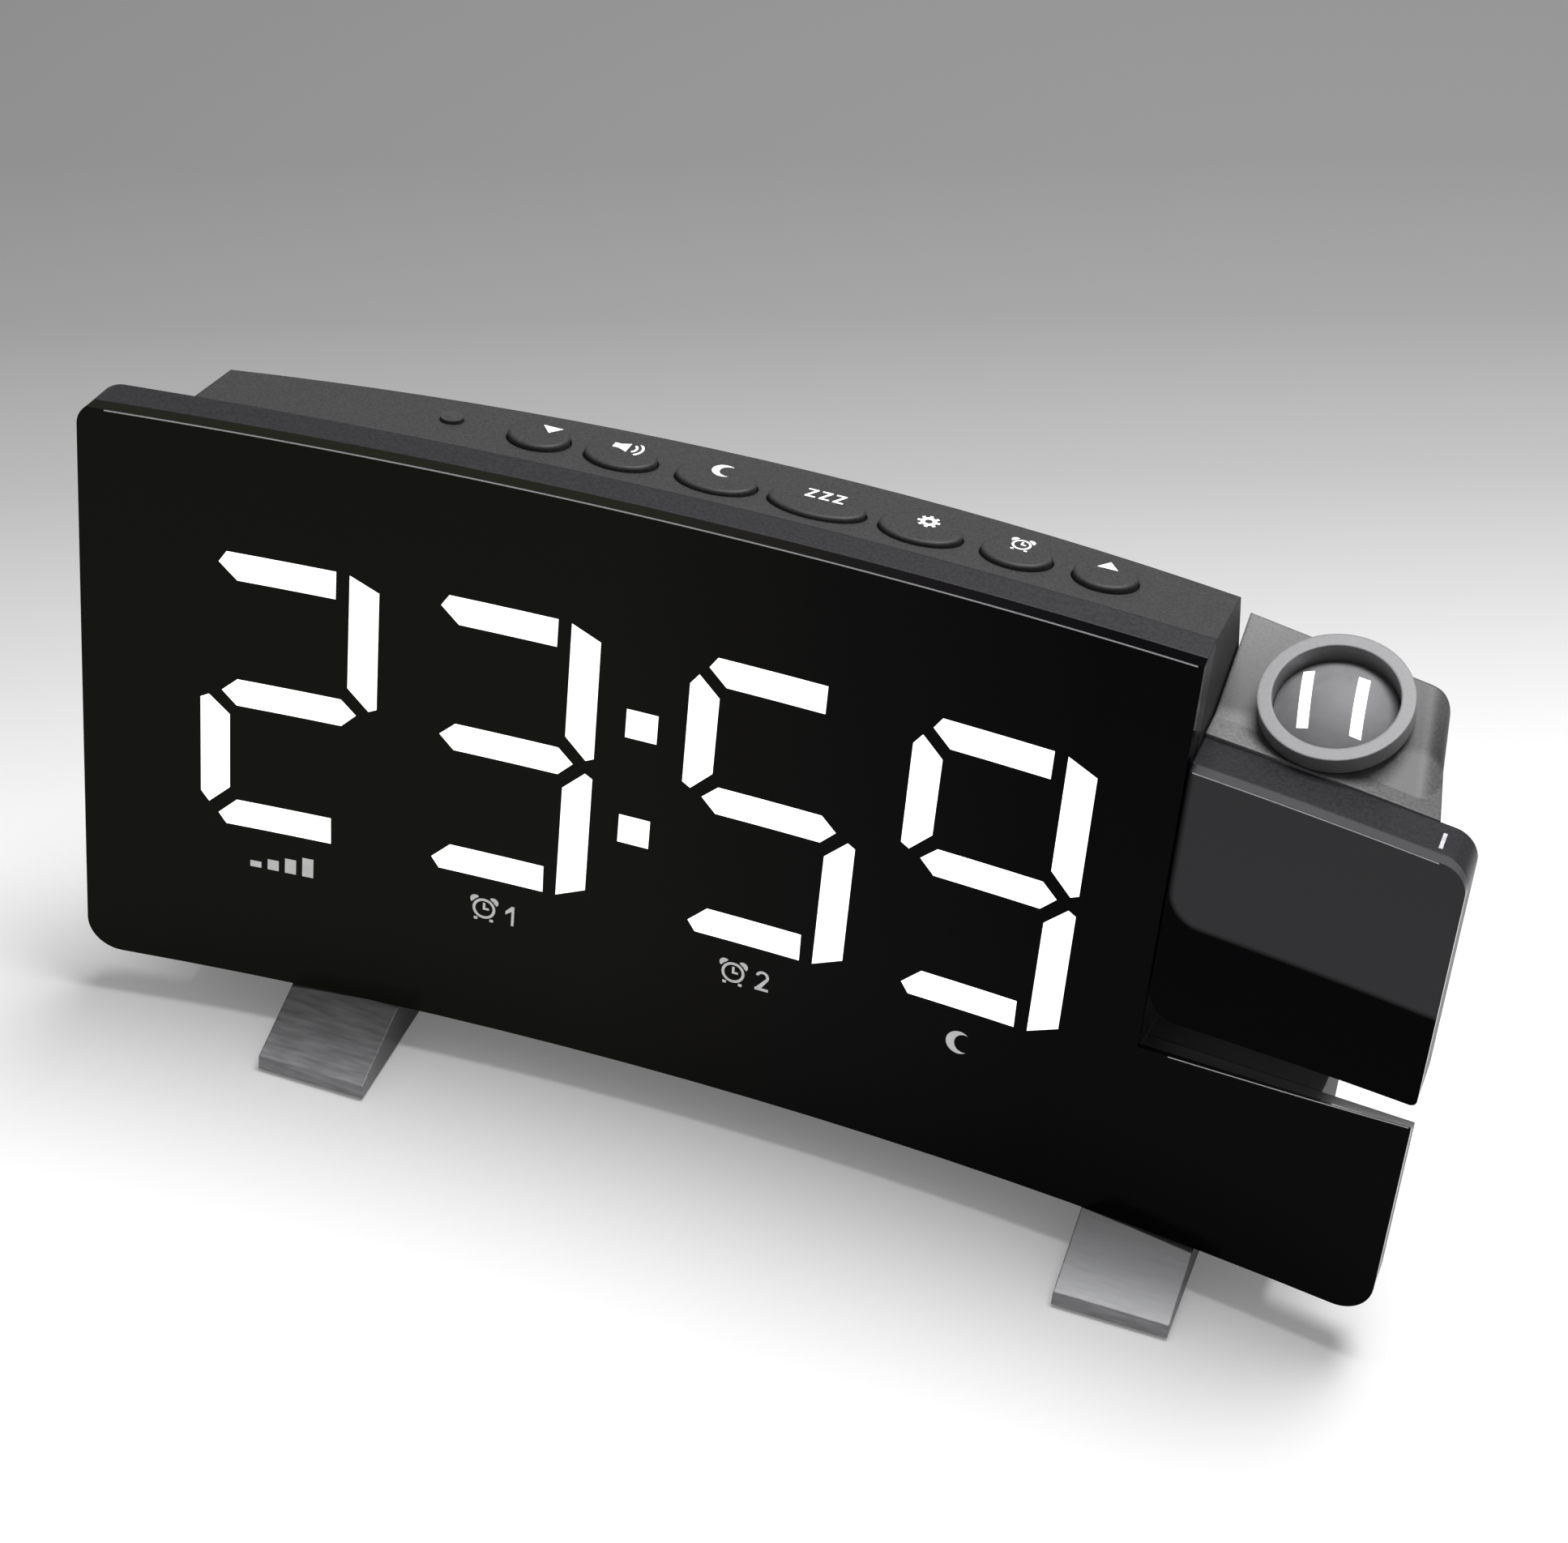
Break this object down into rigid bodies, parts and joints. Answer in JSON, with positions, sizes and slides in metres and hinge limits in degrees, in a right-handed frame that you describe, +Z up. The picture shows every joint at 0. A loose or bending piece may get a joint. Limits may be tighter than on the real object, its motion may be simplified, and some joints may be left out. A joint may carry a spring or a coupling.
{
  "type": "projection alarm clock",
  "caption": "Free-standing projection alarm clock with a concave display face, top keys, two wedge feet and a tilting projector head.",
  "frame": {"origin": "centre of the bounding box on the surface that the clock stands on", "axes": "+X to the right along the face, +Y away from the viewer, +Z up"},
  "size_m": [0.187, 0.0556, 0.0937],
  "materials": {
    "gloss_black": "high gloss",
    "numeral_white": "lit white",
    "band_black": "satin gloss",
    "housing_black": "fine matt",
    "key_black": "fine matt",
    "foot_metal": "brushed",
    "sole_rubber": "matt",
    "screw_steel": "zinc plated",
    "inner_white": "matt white",
    "board_green": "solder mask",
    "inner_black": "matt",
    "lamp_yellow": "resin",
    "brass": "turned",
    "ring_grey": "satin",
    "lens_glass": "clear"
  },
  "bodies": {
    "clock": {"front_pane": "gloss_black", "lit_numerals": "numeral_white", "front_frame": "band_black", "rear_housing": "housing_black", "battery_door": "housing_black", "housing_screws": "screw_steel", "foot_screws": "screw_steel", "battery_door_screw": "screw_steel", "foot_left": "foot_metal", "sole_left": "sole_rubber", "foot_right": "foot_metal", "sole_right": "sole_rubber", "light_wells": "inner_white", "segment_diffusers": "numeral_white", "display_board": "board_green", "segment_lamps": "lamp_yellow", "board_spacers": "brass", "main_board": "board_green", "clock_chip": "inner_black", "crystal": "screw_steel", "capacitor": "inner_black", "key_board": "board_green", "key_switches": "inner_black", "light_sensor": "lens_glass", "speaker_basket": "inner_black", "speaker_cone": "inner_black", "speaker_magnet": "screw_steel", "power_jack": "inner_black", "dimmer_body": "inner_black", "cell_holder": "inner_black", "coin_cell": "screw_steel", "friction_washer": "screw_steel", "projector_lead": "inner_black"},
    "projector": {"projector_panel": "gloss_black", "projector_frame": "band_black", "projector_shell": "housing_black", "projector_screws": "screw_steel", "hinge_axle": "inner_black", "axle_clip": "screw_steel", "light_tunnel": "inner_black", "projector_film": "lens_glass", "condenser_lens": "lens_glass", "lamp_board": "board_green", "projector_lamp": "lamp_yellow"},
    "focus_ring": {"focus_ring": "ring_grey"},
    "lens_cell": {"lens_cell": "inner_black", "objective_lens": "lens_glass"},
    "dimmer_knob": {"dimmer_knob": "key_black"},
    "key_down": {"key_down": "key_black"},
    "key_volume": {"key_volume": "key_black"},
    "key_sleep": {"key_sleep": "key_black"},
    "key_snooze": {"key_snooze": "key_black"},
    "key_set": {"key_set": "key_black"},
    "key_alarm": {"key_alarm": "key_black"},
    "key_up": {"key_up": "key_black"}
  },
  "joints": [
    {"name": "projector_tilt", "type": "hinge", "parent": "clock", "child": "projector", "pos_m": [0.0568, 0.00384, 0.06121], "axis": [1, 0, 0], "range_deg": [-115, 65]},
    {"name": "focus_turn", "type": "hinge", "parent": "projector", "child": "focus_ring", "pos_m": [0.0714, 0.00906, 0.08267], "axis": [-0.0791, -0.2931, 0.9528], "range_deg": [-60, 60]},
    {"name": "lens_travel", "type": "slide", "parent": "projector", "child": "lens_cell", "axis": [-0.0791, -0.2931, 0.9528], "range_m": [-0.0006, 0.0006]},
    {"name": "dimmer_slide", "type": "slide", "parent": "clock", "child": "dimmer_knob", "axis": [1, 0, 0], "range_m": [-0.0022, 0.0022]},
    {"name": "key_down_press", "type": "slide", "parent": "clock", "child": "key_down", "axis": [0, -0.1219, -0.9925], "range_m": [0, 0.0006], "stiffness_N_per_m": 400, "springref_m": -0.0004},
    {"name": "key_volume_press", "type": "slide", "parent": "clock", "child": "key_volume", "axis": [0, -0.1219, -0.9925], "range_m": [0, 0.0006], "stiffness_N_per_m": 400, "springref_m": -0.0004},
    {"name": "key_sleep_press", "type": "slide", "parent": "clock", "child": "key_sleep", "axis": [0, -0.1219, -0.9925], "range_m": [0, 0.0006], "stiffness_N_per_m": 400, "springref_m": -0.0004},
    {"name": "key_snooze_press", "type": "slide", "parent": "clock", "child": "key_snooze", "axis": [0, -0.1219, -0.9925], "range_m": [0, 0.0006], "stiffness_N_per_m": 400, "springref_m": -0.0004},
    {"name": "key_set_press", "type": "slide", "parent": "clock", "child": "key_set", "axis": [0, -0.1219, -0.9925], "range_m": [0, 0.0006], "stiffness_N_per_m": 400, "springref_m": -0.0004},
    {"name": "key_alarm_press", "type": "slide", "parent": "clock", "child": "key_alarm", "axis": [0, -0.1219, -0.9925], "range_m": [0, 0.0006], "stiffness_N_per_m": 400, "springref_m": -0.0004},
    {"name": "key_up_press", "type": "slide", "parent": "clock", "child": "key_up", "axis": [0, -0.1219, -0.9925], "range_m": [0, 0.0006], "stiffness_N_per_m": 400, "springref_m": -0.0004}
  ],
  "couplings": [
    {"joint": "focus_turn", "follows": "lens_travel", "rad_per_m": 1745.3}
  ]
}
